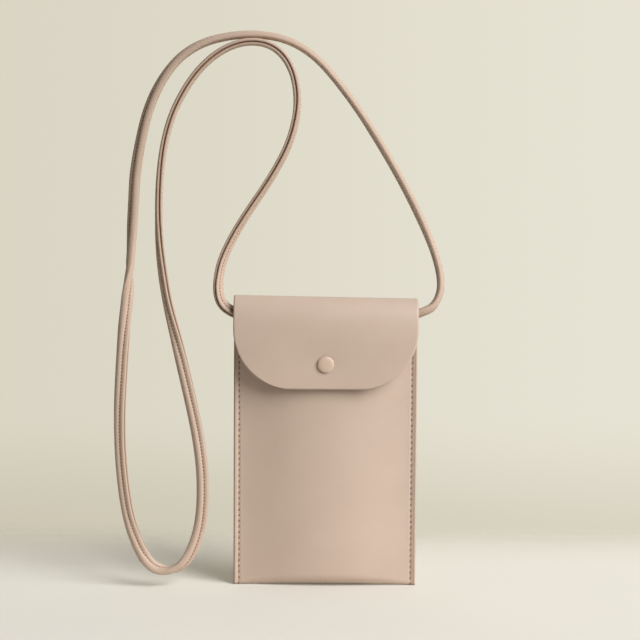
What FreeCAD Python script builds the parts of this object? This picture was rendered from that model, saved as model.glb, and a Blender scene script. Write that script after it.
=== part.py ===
import FreeCAD, Part
import math
import os

# Phone pouch of soft leather with a fold-over flap, a press snap and a rolled neck strap.
# Millimetres, +Z up, the flap faces -Y, the origin is at the middle of the pouch's foot.

# Pouch
POUCH_WIDTH = 115.0
POUCH_HEIGHT = 182.0
LEATHER = 1.6
FRONT_BULGE = 8.0
BACK_BULGE = 6.0
BASE_FRONT_BULGE = 6.0  # the bulges are smaller at the bottom fold
BASE_BACK_BULGE = 4.5
BASE_RISE = 30.0  # height over which the panels swell to their full bulge
BASE_EDGE = 1.6  # rounding of the bottom fold
MOUTH_DROP = 19.0  # from the pouch's top to the front panel's top edge, under the flap
BACK_FULL_DROP = 82.0  # the back panel keeps its full bulge up to this far below the top
BACK_FLAT_DROP = 22.0  # and is flat from here up to the fold
RISE_STEPS = 3
FADE_STEPS = 4
EDGE_STEPS = 2

# Seams
STITCH_INSET = 3.0  # from the pouch's edge to the stitch line
STITCH_ROOM = 2.0  # from the stitch line to the pocket
STITCH_PITCH = 3.6
STITCH_FIRST = 4.2
STITCH_BREAK = 0.4  # what shows of a needle hole between two stitches
THREAD = 0.8
THREAD_LEG = 0.6  # the thread's width, drawn thinner inside its hole
NEEDLE_FIT = 0.08

# Flap
FLAP_DROP = 56.0  # from the top of the fold to the flap's lower edge
FLAP_CORNER = 33.0

# Press snap
SNAP_RISE = 15.5  # from the flap's lower edge to the snap
SNAP_FIT = 0.1  # clearance round the posts
SEAT = 0.05  # clearance under a flat flange on the curved leather
CAP_RADIUS = 5.15
CAP_RIM = 0.5
CAP_DOME = 1.4
POST_RADIUS = 1.5
POST_HEAD_RADIUS = 4.0
POST_HEAD = 0.6
RIVET_LEDGE = 0.3  # how far the rolled-over end of a post reaches past its bore
RIVET = 0.18
RIVET_GAP = 0.12
STUD_FLANGE_RADIUS = 4.25
STUD_FLANGE = 0.6
STUD_WALL = 0.35
STUD_LEDGE = 0.4  # how far the stud's head stands out from its neck
STUD_HEAD = 0.4
SOCKET_GAP = 0.3  # between the stud's flange and the socket's mouth
SOCKET_LIP = 0.15
SOCKET_SWING = 0.3  # room round the stud's head for the flap's swing
SOCKET_WALL = 1.5
SOCKET_PLATE = 0.68
SPRING_WIRE = 0.6
SPRING_BITE = 0.1  # how far the ring spring reaches under the stud's head
SPRING_FIT = 0.05
SPRING_ROOM = 0.25  # room for the ring to spread
SPRING_OPENING = 40.0  # degrees left open in the split ring

# Strap
STRAP_DIAMETER = 6.2
STRAP_WALL = 1.05
CORE_FIT = 0.05
STRAP_GAP = 1.1  # from the strap to the back panel at the two exits
STRAP_BELOW_FOLD = 0.9  # from the fold's middle down to the strap's exits
STRAP_SLOPE = 18.0  # degrees by which the strap climbs as it leaves the pouch
STRAP_INSIDE = 5.5  # how far inside the pouch's edge the round strap starts
STRAP_EXIT_RUN = 9.0
TAIL_WIDTH = 7.6
TAIL_THICKNESS = 2.6
TAIL_TAPER = 9.0
TAIL_FLAT = 17.0
TAIL_ROUND = 1.2
TAIL_INSET = 1.8  # from the tail's edges to its two rows of stitches

# Route of the strap between its two exits, as chosen points (across, behind the seam, up)
STRAP_ROUTE = [
    (-68.5, -2.5, 181.0), (-70.0, 1.0, 192.0), (-65.0, 6.0, 208.0), (-52.0, 9.0, 231.0), (-35.0, 9.0, 256.0),
    (-22.0, 8.0, 280.0), (-16.5, 7.0, 304.5), (-20.5, 6.0, 326.0), (-33.5, 5.0, 339.0), (-51.5, 5.0, 341.5),
    (-70.5, 5.0, 334.0), (-88.5, 4.0, 316.0), (-101.5, 4.0, 288.0), (-106.5, 4.0, 248.5),
    (-103.5, 3.0, 193.0), (-89.0, 2.0, 135.0), (-77.0, 1.0, 84.0), (-76.5, 0.0, 46.5), (-82.0, 0.0, 24.0),
    (-92.0, 0.0, 8.5), (-108.5, 0.0, 8.0), (-119.0, 0.0, 24.5), (-127.0, 0.0, 50.0), (-132.5, 2.0, 97.0),
    (-129.0, 4.0, 152.0), (-122.5, 6.0, 211.0), (-120.0, 8.0, 264.5), (-110.0, 9.0, 306.5),
    (-86.5, 10.0, 338.0), (-49.0, 10.0, 350.0), (-15.5, 10.0, 340.5), (13.0, 10.0, 309.0),
    (45.5, 10.0, 260.5), (68.5, 8.0, 217.0), (74.5, 1.0, 191.0), (68.0, -2.5, 178.5),
]
BEND_SHARE = 0.45  # share of the shorter run that a bend takes up on each side of its point

# Places that follow from the sizes above
HALF_WIDTH = POUCH_WIDTH / 2
HALF_POCKET = HALF_WIDTH - STITCH_INSET - STITCH_ROOM
MOUTH_HEIGHT = POUCH_HEIGHT - MOUTH_DROP
BACK_FULL_HEIGHT = POUCH_HEIGHT - BACK_FULL_DROP
BACK_FLAT_HEIGHT = POUCH_HEIGHT - BACK_FLAT_DROP
STITCH_X = HALF_WIDTH - STITCH_INSET
STITCH_BAR = STITCH_PITCH - STITCH_BREAK
STITCH_COUNT = 1 + int((MOUTH_HEIGHT - STITCH_FIRST - STITCH_BAR) / STITCH_PITCH)
HOLE_RADIUS = THREAD_LEG / math.sqrt(2) + NEEDLE_FIT

# The snap's parts stack up outwards from the front panel's face
POST_BORE = POST_RADIUS + SNAP_FIT
RIVET_RADIUS = POST_BORE + RIVET_LEDGE
STUD_NECK_RADIUS = POST_BORE + STUD_WALL
STUD_HEAD_RADIUS = STUD_NECK_RADIUS + STUD_LEDGE
STUD_FLANGE_TOP = SEAT + STUD_FLANGE
SOCKET_RIM = STUD_FLANGE_TOP + SOCKET_GAP
GROOVE_START = SOCKET_RIM + SOCKET_LIP
GROOVE_TOP = GROOVE_START + SPRING_WIRE + 2 * SPRING_FIT
STUD_HEAD_START = GROOVE_TOP
STUD_TOP = STUD_HEAD_START + STUD_HEAD
STUD_RIVET = STUD_TOP + SEAT
CAP_RIVET = STUD_RIVET + RIVET + RIVET_GAP
SOCKET_PLATE_START = CAP_RIVET + RIVET + SEAT
SOCKET_TOP = SOCKET_PLATE_START + SOCKET_PLATE
SOCKET_LIP_RADIUS = STUD_HEAD_RADIUS + SOCKET_SWING
SPRING_RADIUS = STUD_HEAD_RADIUS - SPRING_BITE + SPRING_WIRE / 2
GROOVE_RADIUS = SPRING_RADIUS + SPRING_WIRE / 2 + SPRING_ROOM
SOCKET_RADIUS = GROOVE_RADIUS + SOCKET_WALL
FLAP_STAND_OFF = SOCKET_TOP + SEAT
CAP_SEAT = FLAP_STAND_OFF + LEATHER + SEAT

# The flap hangs in front of the snap, and the fold is as wide as the flap stands from the back
FRONT_FACE = FRONT_BULGE + LEATHER
FLAP_INNER = FRONT_FACE + FLAP_STAND_OFF
FLAP_OUTER = FLAP_INNER + LEATHER
FOLD_INNER_RADIUS = FLAP_INNER / 2
FOLD_OUTER_RADIUS = FOLD_INNER_RADIUS + LEATHER
FOLD_HEIGHT = POUCH_HEIGHT - FOLD_OUTER_RADIUS
FLAP_BOTTOM = POUCH_HEIGHT - FLAP_DROP
SNAP_HEIGHT = FLAP_BOTTOM + SNAP_RISE
FRONT_REACH = FRONT_FACE + CAP_SEAT + CAP_RIM + CAP_DOME
BACK_REACH = BACK_BULGE + LEATHER
SEAM_Y = (FRONT_REACH - BACK_REACH) / 2  # brings the pouch's box over the origin

# The strap leaves through the open ends of the fold
STRAP_RADIUS = STRAP_DIAMETER / 2
BORE_RADIUS = STRAP_RADIUS - STRAP_WALL
CORE_RADIUS = BORE_RADIUS - CORE_FIT
STRAP_Y = -(STRAP_RADIUS + STRAP_GAP)
SLOPE = math.radians(STRAP_SLOPE)
TAIL_X = HALF_WIDTH - STRAP_INSIDE
TAIL_Z = FOLD_HEIGHT - STRAP_BELOW_FOLD - STRAP_INSIDE * math.tan(SLOPE)
TAIL_STITCH_COUNT = 1 + int((TAIL_FLAT - 2 * STITCH_BAR) / STITCH_PITCH)
TAIL_ROWS = (TAIL_INSET - TAIL_WIDTH / 2, TAIL_WIDTH / 2 - TAIL_INSET)


def point(x, y, z):
    return FreeCAD.Vector(x, y, z)


def line(start, end):
    return Part.LineSegment(start, end).toShape()


def bow(start, middle, end):
    """A soft curve from start to end that passes through middle half way along."""
    curve = Part.BezierCurve()
    curve.setPoles([start, middle * 2 - (start + end) / 2, end])
    return curve.toShape()


def wall_section(side, bulge, height):
    """Plan of one wall with its two flat edges: side is -1 for the front and 1 for the back."""
    def at(x, y):
        return point(x, side * y, height)
    outer = bow(at(-HALF_POCKET, LEATHER), at(0, bulge + LEATHER), at(HALF_POCKET, LEATHER))
    inner = bow(at(HALF_POCKET, 0), at(0, bulge), at(-HALF_POCKET, 0))
    return Part.Wire([
        line(at(-HALF_WIDTH, LEATHER), at(-HALF_POCKET, LEATHER)), outer,
        line(at(HALF_POCKET, LEATHER), at(HALF_WIDTH, LEATHER)),
        line(at(HALF_WIDTH, LEATHER), at(HALF_WIDTH, 0)),
        line(at(HALF_WIDTH, 0), at(HALF_POCKET, 0)), inner,
        line(at(-HALF_POCKET, 0), at(-HALF_WIDTH, 0)), line(at(-HALF_WIDTH, 0), at(-HALF_WIDTH, LEATHER)),
    ])


def floor_section(side, bulge, height):
    """Plan of the closed bottom of one half of the pouch."""
    def at(x, y):
        return point(x, side * y, height)
    return Part.Wire([
        line(at(-HALF_WIDTH, LEATHER), at(-HALF_POCKET, LEATHER)),
        bow(at(-HALF_POCKET, LEATHER), at(0, bulge + LEATHER), at(HALF_POCKET, LEATHER)),
        line(at(HALF_POCKET, LEATHER), at(HALF_WIDTH, LEATHER)),
        line(at(HALF_WIDTH, LEATHER), at(HALF_WIDTH, 0)),
        line(at(HALF_WIDTH, 0), at(-HALF_WIDTH, 0)), line(at(-HALF_WIDTH, 0), at(-HALF_WIDTH, LEATHER)),
    ])


def swell(base, full, height):
    """Bulge of a panel near the bottom, where it swells from the fold to its full depth."""
    rise = min(height / BASE_RISE, 1)
    return base + (full - base) * math.sin(rise * math.pi / 2)


def front_bulge(height):
    return swell(BASE_FRONT_BULGE, FRONT_BULGE, height)


def back_bulge(height):
    fade = (height - BACK_FULL_HEIGHT) / (BACK_FLAT_HEIGHT - BACK_FULL_HEIGHT)
    fade = min(max(fade, 0), 1)
    return swell(BASE_BACK_BULGE, BACK_BULGE, height) * math.cos(fade * math.pi / 2) ** 2


def rise_heights():
    return [BASE_RISE * (step + 1) / RISE_STEPS for step in range(RISE_STEPS)]


def panel(side, bulge_at, heights):
    """One half of the pouch: a bulging wall on a closed bottom with a rounded edge."""
    sections = [wall_section(side, bulge_at(height), height) for height in [LEATHER] + heights]
    wall = Part.makeLoft(sections, True, True)
    floor_sections = []
    for step in range(EDGE_STEPS + 1):
        turn = math.pi / 2 * step / EDGE_STEPS
        height = LEATHER * (1 - math.cos(turn))
        inset = BASE_EDGE * (1 - math.sin(turn))
        floor_sections.append(floor_section(side, bulge_at(LEATHER) - inset, height))
    floor = Part.makeLoft(floor_sections, True, True)
    return wall.fuse(floor).removeSplitter()


def rod(start, direction, length, radius):
    return Part.makeCylinder(radius, length, start, direction)


def seam_holes(heights, side):
    start = -2 * LEATHER
    return [rod(point(side * STITCH_X, start, height), point(0, 1, 0), 4 * LEATHER, HOLE_RADIUS)
            for height in heights]


def stitch(depth):
    """One stitch: a bar on the front face at y = 0, a leg through the leather and a bar on the back face."""
    leg = THREAD_LEG / 2
    front = -THREAD
    back = depth + THREAD
    profile = [
        (front, -leg), (0, -leg), (depth, -leg), (depth, leg - STITCH_BAR), (back, leg - STITCH_BAR),
        (back, leg), (depth, leg), (0, leg), (0, STITCH_BAR - leg), (front, STITCH_BAR - leg),
    ]
    corners = [point(-leg, y, z) for y, z in profile]
    return Part.Face(Part.makePolygon(corners + corners[:1])).extrude(point(THREAD_LEG, 0, 0))


def moved(shape, offset):
    copy = shape.copy()
    copy.translate(offset)
    return copy


def seam_stitches(heights, side):
    one = stitch(2 * LEATHER)
    return Part.makeCompound([moved(one, point(side * STITCH_X, -LEATHER, height)) for height in heights])


def tail_frame():
    """Placement at the start of the left strap tail, with +X running inwards along it."""
    return FreeCAD.Placement(point(-TAIL_X, 0, TAIL_Z), FreeCAD.Rotation(point(0, 1, 0), STRAP_SLOPE))


def mirrored(shape):
    return shape.mirror(point(0, 0, 0), point(1, 0, 0))


def tail_section(along, middle, width, thickness, corner):
    """A rounded rectangle across the tail, whose middle lies at y = middle."""
    half_width = width / 2 - corner
    half_thickness = thickness / 2 - corner
    edges = []
    last = None
    first = None
    for quarter, (sign_y, sign_z) in enumerate(((1, 1), (-1, 1), (-1, -1), (1, -1))):
        centre = point(along, middle + sign_y * half_thickness, sign_z * half_width)
        ends = [point(0, math.cos(a), math.sin(a)) * corner + centre
                for a in (math.pi / 2 * (quarter + step) for step in (0, 0.5, 1))]
        if last:
            edges.append(line(last, ends[0]))
        edges.append(Part.Arc(*ends).toShape())
        first = first or ends[0]
        last = ends[2]
    edges.append(line(last, first))
    return Part.Wire(edges)


def tail_holes_at():
    """Places of the tail's stitches, along and across it."""
    start = TAIL_TAPER + STITCH_BAR
    places = []
    for across in TAIL_ROWS:
        places += [(start + STITCH_PITCH * step, across) for step in range(TAIL_STITCH_COUNT)]
    return places


def tail_holes():
    depth = TAIL_THICKNESS + LEATHER
    holes = [rod(point(along, -2 * depth, across), point(0, 1, 0), 4 * depth, HOLE_RADIUS)
             for along, across in tail_holes_at()]
    for hole in holes:
        hole.Placement = tail_frame() * hole.Placement
    return holes


def make_strap_tail():
    """The left end of the strap: round where the strap leaves, then flat against the back panel."""
    flat = -TAIL_THICKNESS / 2
    near_round = STRAP_RADIUS - SEAT
    sections = [
        tail_section(0, STRAP_Y, STRAP_DIAMETER, STRAP_DIAMETER, near_round),
        tail_section(TAIL_TAPER, flat, TAIL_WIDTH, TAIL_THICKNESS, TAIL_ROUND),
        tail_section(TAIL_TAPER + TAIL_FLAT, flat, TAIL_WIDTH, TAIL_THICKNESS, TAIL_ROUND),
    ]
    tail = Part.makeLoft(sections, True, True)
    tail.Placement = tail_frame()
    return tail.cut(tail_holes())


def make_tail_stitches():
    one = stitch(TAIL_THICKNESS + LEATHER)
    one.rotate(point(0, 0, 0), point(0, 1, 0), 90)
    copies = []
    for along, across in tail_holes_at():
        copy = moved(one, point(along, -TAIL_THICKNESS, across))
        copy.Placement = tail_frame() * copy.Placement
        copies.append(copy)
    return Part.makeCompound(copies)


def snap_hole():
    start = point(0, -FLAP_OUTER - LEATHER, SNAP_HEIGHT)
    return rod(start, point(0, 1, 0), FLAP_OUTER + LEATHER, POST_BORE + SNAP_FIT)


def turned(profile):
    """A solid of revolution round the snap's axis, from (out, radius) corners."""
    corners = [point(radius, -FRONT_FACE - out, SNAP_HEIGHT) for out, radius in profile]
    face = Part.Face(Part.makePolygon(corners + corners[:1]))
    return face.revolve(point(0, 0, SNAP_HEIGHT), point(0, 1, 0), 360)


def make_front_panel(heights):
    body = panel(-1, front_bulge, rise_heights() + [MOUTH_HEIGHT])
    return body.cut(seam_holes(heights, -1) + seam_holes(heights, 1) + [snap_hole()])


def make_back_panel(heights):
    span = BACK_FLAT_HEIGHT - BACK_FULL_HEIGHT
    fade = [BACK_FULL_HEIGHT + span * step / FADE_STEPS for step in range(FADE_STEPS + 1)]
    body = panel(1, back_bulge, rise_heights() + fade + [FOLD_HEIGHT])
    holes = tail_holes()
    holes += [mirrored(hole) for hole in holes]
    return body.cut(seam_holes(heights, -1) + seam_holes(heights, 1) + holes)


def make_top_fold():
    middle = -FOLD_INNER_RADIUS

    def at(radius, degrees):
        turn = math.radians(degrees)
        return point(-HALF_WIDTH, middle + radius * math.cos(turn), FOLD_HEIGHT + radius * math.sin(turn))
    outer = [at(FOLD_OUTER_RADIUS, degrees) for degrees in (0, 90, 180)]
    inner = [at(FOLD_INNER_RADIUS, degrees) for degrees in (180, 90, 0)]
    section = Part.Wire([
        Part.Arc(*outer).toShape(), line(outer[-1], inner[0]),
        Part.Arc(*inner).toShape(), line(inner[-1], outer[0]),
    ])
    return Part.Face(section).extrude(point(POUCH_WIDTH, 0, 0))


def make_flap():
    drop = FOLD_HEIGHT - FLAP_BOTTOM
    plate = Part.makeBox(POUCH_WIDTH, LEATHER, drop, point(-HALF_WIDTH, -FLAP_OUTER, FLAP_BOTTOM))
    lower_corners = [edge for edge in plate.Edges
                     if all(abs(vertex.Z - FLAP_BOTTOM) < SEAT for vertex in edge.Vertexes)
                     and abs(edge.Vertexes[0].X - edge.Vertexes[1].X) < SEAT]
    return plate.makeFillet(FLAP_CORNER, lower_corners).cut(snap_hole())


def make_snap_cap():
    rim = CAP_SEAT + CAP_RIM
    top = rim + CAP_DOME
    rivet_top = CAP_RIVET + RIVET
    body = turned([
        (CAP_RIVET, 0), (CAP_RIVET, RIVET_RADIUS), (rivet_top, RIVET_RADIUS), (rivet_top, POST_RADIUS),
        (CAP_SEAT, POST_RADIUS), (CAP_SEAT, CAP_RADIUS), (rim, CAP_RADIUS), (rim, 0),
    ])
    ball_radius = (CAP_RADIUS ** 2 + CAP_DOME ** 2) / (2 * CAP_DOME)
    ball = Part.makeSphere(ball_radius, point(0, -FRONT_FACE - top + ball_radius, SNAP_HEIGHT))
    disc = rod(point(0, -FRONT_FACE - rim, SNAP_HEIGHT), point(0, -1, 0), CAP_DOME, CAP_RADIUS)
    return body.fuse(ball.common(disc)).removeSplitter()


def make_snap_socket():
    return turned([
        (SOCKET_RIM, SOCKET_LIP_RADIUS), (SOCKET_RIM, SOCKET_RADIUS), (SOCKET_TOP, SOCKET_RADIUS),
        (SOCKET_TOP, POST_BORE), (SOCKET_PLATE_START, POST_BORE), (SOCKET_PLATE_START, SOCKET_LIP_RADIUS),
        (GROOVE_TOP, SOCKET_LIP_RADIUS), (GROOVE_TOP, GROOVE_RADIUS), (GROOVE_START, GROOVE_RADIUS),
        (GROOVE_START, SOCKET_LIP_RADIUS),
    ])


def make_snap_spring():
    middle = (GROOVE_START + GROOVE_TOP) / 2
    centre = point(0, -FRONT_FACE - middle, SNAP_HEIGHT)
    circle = Part.makeCircle(SPRING_WIRE / 2, centre + point(SPRING_RADIUS, 0, 0), point(0, 0, 1))
    return Part.Face(Part.Wire(circle)).revolve(centre, point(0, 1, 0), 360 - SPRING_OPENING)


def make_snap_stud():
    return turned([
        (SEAT, POST_BORE), (SEAT, STUD_FLANGE_RADIUS), (STUD_FLANGE_TOP, STUD_FLANGE_RADIUS),
        (STUD_FLANGE_TOP, STUD_NECK_RADIUS), (STUD_HEAD_START, STUD_NECK_RADIUS),
        (STUD_HEAD_START, STUD_HEAD_RADIUS), (STUD_TOP, STUD_HEAD_RADIUS), (STUD_TOP, POST_BORE),
    ])


def make_snap_post():
    inside = -LEATHER - 2 * SEAT
    rivet_top = STUD_RIVET + RIVET
    return turned([
        (inside - POST_HEAD, 0), (inside - POST_HEAD, POST_HEAD_RADIUS), (inside, POST_HEAD_RADIUS),
        (inside, POST_RADIUS), (STUD_RIVET, POST_RADIUS), (STUD_RIVET, RIVET_RADIUS),
        (rivet_top, RIVET_RADIUS), (rivet_top, 0),
    ])


def strap_points():
    """The whole route, with both ends lying on the axes of the two tails."""
    ends = []
    for side in (-1, 1):
        start = point(side * TAIL_X, STRAP_Y, TAIL_Z)
        out = point(side * math.cos(SLOPE), 0, math.sin(SLOPE))
        ends.append([start, start + out * STRAP_EXIT_RUN])
    return ends[0] + [point(*place) for place in STRAP_ROUTE] + ends[1][::-1]


def strap_path():
    """Straight runs joined by the largest arcs that they leave room for."""
    points = strap_points()
    edges = []
    radii = []
    start = points[0]
    for before, here, after in zip(points, points[1:], points[2:]):
        run_in = here - before
        run_out = after - here
        half_turn = run_in.getAngle(run_out) / 2
        reach = BEND_SHARE * min(run_in.Length, run_out.Length)
        radii.append(reach / math.tan(half_turn))
        run_in.normalize()
        run_out.normalize()
        inward = run_out - run_in
        inward.normalize()
        middle = here + inward * radii[-1] * (1 / math.cos(half_turn) - 1)
        arc_start = here - run_in * reach
        arc_end = here + run_out * reach
        edges += [line(start, arc_start), Part.Arc(arc_start, middle, arc_end).toShape()]
        start = arc_end
    edges.append(line(start, points[-1]))
    return Part.Wire(edges), radii


def strap_tube(path, radius):
    start = strap_points()[0]
    profile = Part.Wire(Part.makeCircle(radius, start, strap_points()[1] - start))
    return path.makePipeShell([profile], True, False)


def make_strap():
    path, radii = strap_path()
    print("strap bend radii", [round(radius, 1) for radius in radii])
    cover = strap_tube(path, STRAP_RADIUS).cut(strap_tube(path, BORE_RADIUS))
    core = strap_tube(path, CORE_RADIUS)
    sections = {"cover": STRAP_RADIUS ** 2 - BORE_RADIUS ** 2, "core": CORE_RADIUS ** 2}
    for name, shape in (("cover", cover), ("core", core)):
        expected = math.pi * sections[name] * path.Length
        print("strap", name, "volume", round(shape.Volume), "section times length", round(expected))
    print("strap length", round(path.Length))
    return cover, core


heights = [STITCH_FIRST + STITCH_PITCH * step for step in range(STITCH_COUNT)]
strap_cover, strap_core = make_strap()
strap_tail = make_strap_tail()
tail_stitches = make_tail_stitches()
nodes = {
    "front_panel": make_front_panel(heights),
    "back_panel": make_back_panel(heights),
    "top_fold": make_top_fold(),
    "flap": make_flap(),
    "snap_cap": make_snap_cap(),
    "snap_socket": make_snap_socket(),
    "snap_spring": make_snap_spring(),
    "snap_stud": make_snap_stud(),
    "snap_post": make_snap_post(),
    "left_seam_stitches": seam_stitches(heights, -1),
    "right_seam_stitches": seam_stitches(heights, 1),
    "strap_cover": strap_cover,
    "strap_core": strap_core,
    "strap_tail_left": strap_tail,
    "strap_tail_right": mirrored(strap_tail),
    "tail_stitches_left": tail_stitches,
    "tail_stitches_right": mirrored(tail_stitches),
}
os.makedirs("parts", exist_ok=True)
for name, shape in nodes.items():
    placed = moved(shape, point(0, SEAM_Y, 0))
    print(name, "solids", len(placed.Solids), "volume", round(placed.Volume, 1), "valid", placed.isValid())
    placed.exportStep("parts/" + name + ".step")
print("seam plane at y", round(SEAM_Y, 3))
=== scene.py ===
import math

import bmesh
import bpy
from mathutils import Matrix, Vector, noise


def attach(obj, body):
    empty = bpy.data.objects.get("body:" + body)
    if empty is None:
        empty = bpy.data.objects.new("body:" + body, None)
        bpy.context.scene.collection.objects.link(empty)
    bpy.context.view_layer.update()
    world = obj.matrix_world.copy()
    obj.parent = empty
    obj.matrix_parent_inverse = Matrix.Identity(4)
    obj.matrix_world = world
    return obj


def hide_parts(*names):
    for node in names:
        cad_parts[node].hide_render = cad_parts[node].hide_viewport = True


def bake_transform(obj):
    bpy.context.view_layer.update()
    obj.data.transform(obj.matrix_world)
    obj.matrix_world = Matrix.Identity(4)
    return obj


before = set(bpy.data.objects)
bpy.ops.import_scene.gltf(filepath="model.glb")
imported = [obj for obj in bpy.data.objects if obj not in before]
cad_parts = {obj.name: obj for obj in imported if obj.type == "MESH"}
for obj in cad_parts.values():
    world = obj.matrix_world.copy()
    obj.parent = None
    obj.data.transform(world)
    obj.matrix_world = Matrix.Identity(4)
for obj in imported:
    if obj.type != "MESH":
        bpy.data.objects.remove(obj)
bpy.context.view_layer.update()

# Phone pouch of smooth beige leather with a fold-over flap, a press snap and a doubled, sewn neck strap.
# Sizes are in millimetres unless a name or comment says otherwise, and MM turns them to metres.
MM = 0.001

# Pouch: across is x, behind the side seams is y, up is z
SEAM_Y = 4.53  # the plane in which front and back are sewn together
POUCH_TOP = 183.2
HALF_WIDTH = 57.5
SEAM_BAND = 5.0  # the flat strip along each side that holds the seam
HALF_POCKET = HALF_WIDTH - SEAM_BAND
CROWN = 28.0  # the walls are round this far from the middle, and slope evenly from there to the seams
LEATHER = 1.6
POCKET_GAP = 0.15  # least space between a wall's inner side and the seams' plane
MOUTH_HEIGHT = 163.0
FRONT_BULGE = 8.0
BACK_BULGE = 6.0
BASE_SHARE = 0.75  # share of the bulge that is left at the bottom fold
BASE_RISE = 30.0  # height at which the bulge is whole
BACK_FULL_HEIGHT = 100.0  # the back's bulge fades from here
BACK_FLAT_HEIGHT = 160.0  # and is gone here
FOOT_LIFT = 1.1  # the middle of the bottom fold stands clear of the floor
FOOT_ROUND = 6.5  # how much taller the fold's bend is in the middle than at the seams
FOOT_SLACK = 0.1  # height of the bend's inner side at the seams
FOOT_ROWS = 10
SEAM_CREASE = 0.8  # softness of the crease where the bulge meets the flat seam
WAVE = 0.35  # how far the hand-cut leather wanders from its even shape
WAVE_LENGTH = 45.0
WAVE_APART = 3.7  # keeps one sheet's wander from being another's
WAVE_START = 0.1  # share of a wall's height in which its wander sets in
WAVE_STOP = 12.0  # and the height under its top in which it dies away
FRONT, BACK, FLAP = -1, 1, 5  # numbers of the sheets, and for the walls the way they face along y
EDGE_SOFT = 0.2  # share of the leather's thickness that is rubbed round at a cut edge
EDGE_FALL = 0.35  # how far the face falls away beside that
EDGE_ROUND = 0.45  # and in what width
EDGE_LEFT = (0.95, 0.0, 0.8)  # the burnished left edge, darkened further by painted shade on this side away from the lamp: how dark, how far in and how wide its band is
EDGE_RIGHT = (0.4, 1.2, 0.55)  # the right edge, on the lamp's side, gets less of it, with a faint painted shadow line beside it
EDGE_FLARE = 0.68  # how far the sewn edge stands forward of its stitches
FLARE_RISE = 30.0  # height under the mouth in which it comes to that
EDGE_ZONE = 7.0  # strip along each side in which the points lie close together
EDGE_COLUMN = 0.4
FACE_COLUMN = 2.4
ROW_STEP = 0.9

# Top fold and flap: the outer face of the leather from the back's top over to the flap's lower edge,
# as (behind the seam, up). The ridge lies well back, and the leather slopes from it to the front.
FOLD_LINE = [
    (1.6, 166.0), (1.6, 170.0), (1.3, 176.5), (-0.5, 180.9), (-3.4, 182.8),
    (-7.4, 181.9), (-11.3, 178.9), (-14.3, 173.6), (-15.7, 167.0), (-15.8, 159.0),
    (-15.2, 150.0), (-14.75, 141.5), (-14.75, 134.0), (-14.85, 126.0), (-14.9, 122.0),
]
FOLD_STEPS = 8
FOLD_START = 170.0
FOLD_TILT = 0.8  # the ridge is a little higher on the left
SAME_HEIGHT = 0.001  # heights no farther apart than this are the same
BEND_END = -9.0  # and follows the flap from here on
FLAP_BOTTOM = 126.0
FLAP_CORNER = 37.0
CORNER_ROWS = 30
FOLD_CROWN = 2.4  # how far the sides of the fold lie behind its middle
FLAP_CROWN = 2.2  # and the sides of the flap's lower edge
HANG_LENGTH = 30.0  # the flap hangs quite free this far below the fold
SNAP_DRAW = 1.4  # how far the snap draws the flap in
SNAP_DRAW_WIDTH = 26.0
SNAP_CALM = (6.0, 20.0)  # the flap's wander sets in between these distances from the snap

# Stitches of the side seams
STITCH_X = 54.2
STITCH_PITCH = 3.6
STITCH_FIRST = 0.9
STITCH_LENGTH = 1.7
STITCH_SLANT = math.radians(24)
STITCH_SIDES = 6
STITCH_RINGS = 5
STITCH_UNEVEN = (0.92, 1.06)  # sizes of the smallest and the largest stitch beside the usual one
STITCH_SEED = 7
THREAD = 0.75
THREAD_HEIGHT = 0.8 * THREAD  # pulled tight, it is flatter than it is wide
CHANNEL_DEPTH = 0.28  # the thread lies in a shallow channel
CHANNEL_WIDTH = 0.6
# the channel's and the needle holes' shades below are painted shade
CHANNEL_SHADE = 0.05
NEEDLE_DEPTH = 0.35  # and pulls the leather in at each needle hole
NEEDLE_WIDTH = 0.55
NEEDLE_SHADE = 0.5
NEEDLE_SLIT = (2.2, 0.65, 0.5)  # the needle's slanting cut, a dark bead of painted shadow: length, width and height

# Press snap
SNAP_HEIGHT = 141.5
FLAP_FACE = 14.71
DIMPLE = 0.3  # the cap presses the flap in a little
DIMPLE_WIDTH = 7.5
CAP_RADIUS = 5.15
CAP_STANDS = 1.95
CAP_SEAT = 0.02  # the cap's underside lies this far off the flap
CAP_SHOULDER = 0.8  # its dome starts here
CAP_RISE = 0.9  # powers of the dome's curve: below 1, this one makes its side steeper
CAP_ROUND = 0.75  # and this one its top flatter
CAP_ROWS = 12
CAP_TURNS = 64
POST_RADIUS = 1.5
POST_REACH = 1.15  # how far the post comes through the flap
# Rolled rim of the cap as (out from the flap's face, in from the cap's radius)
CAP_RIM = [(CAP_SEAT, 0.9), (0.35, 0.6), (0.5, 0.1), (0.65, 0.0)]
# Spread end of the post as (out from its tip, radius)
POST_END = [(0.0, 0.0), (0.0, 1.8), (0.08, 1.9), (0.18, 1.9), (0.2, POST_RADIUS)]
JOIN_DISTANCE = 0.001  # points no farther apart than this are one

# Strap: leather folded along its length, rolled at the fold and sewn near its two open edges
STRAP_STEPS = 16
STRAP_PITCH = 2.1
STRAP_STITCH = 1.1
STRAP_THREAD = 0.55
STRAP_SEAM = (1.0, 1.6)  # where its seams lie: along the width, out from the middle
STRAP_HOLE = (1.2, 0.9, 0.5)  # a needle hole's dark bead of painted shadow: length, width and height
# Half of its outline, from the slit between the open edges to the roll (along the width, out from the middle)
STRAP_OUTLINE = [
    (2.6, 0.05), (3.5, 0.3), (3.8, 0.8), (3.76, 1.4), (3.5, 1.75), (2.6, 1.9),
    (1.7, 1.82), (1.25, 1.64), (1.0, 1.45), (0.7, 1.65), (0.2, 2.05), (-0.6, 2.4),
    (-1.5, 2.4), (-2.4, 1.95), (-3.1, 1.3), (-3.6, 0.6), (-3.8, 0.0),
]
# How dark each point of that outline is: painted shade in the slit and the sewn groove
STRAP_SHADE = [1, 0.9, 0.2, 0, 0, 0, 0, 0.1, 0.25, 0.1, 0, 0, 0, 0, 0, 0, 0]

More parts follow.
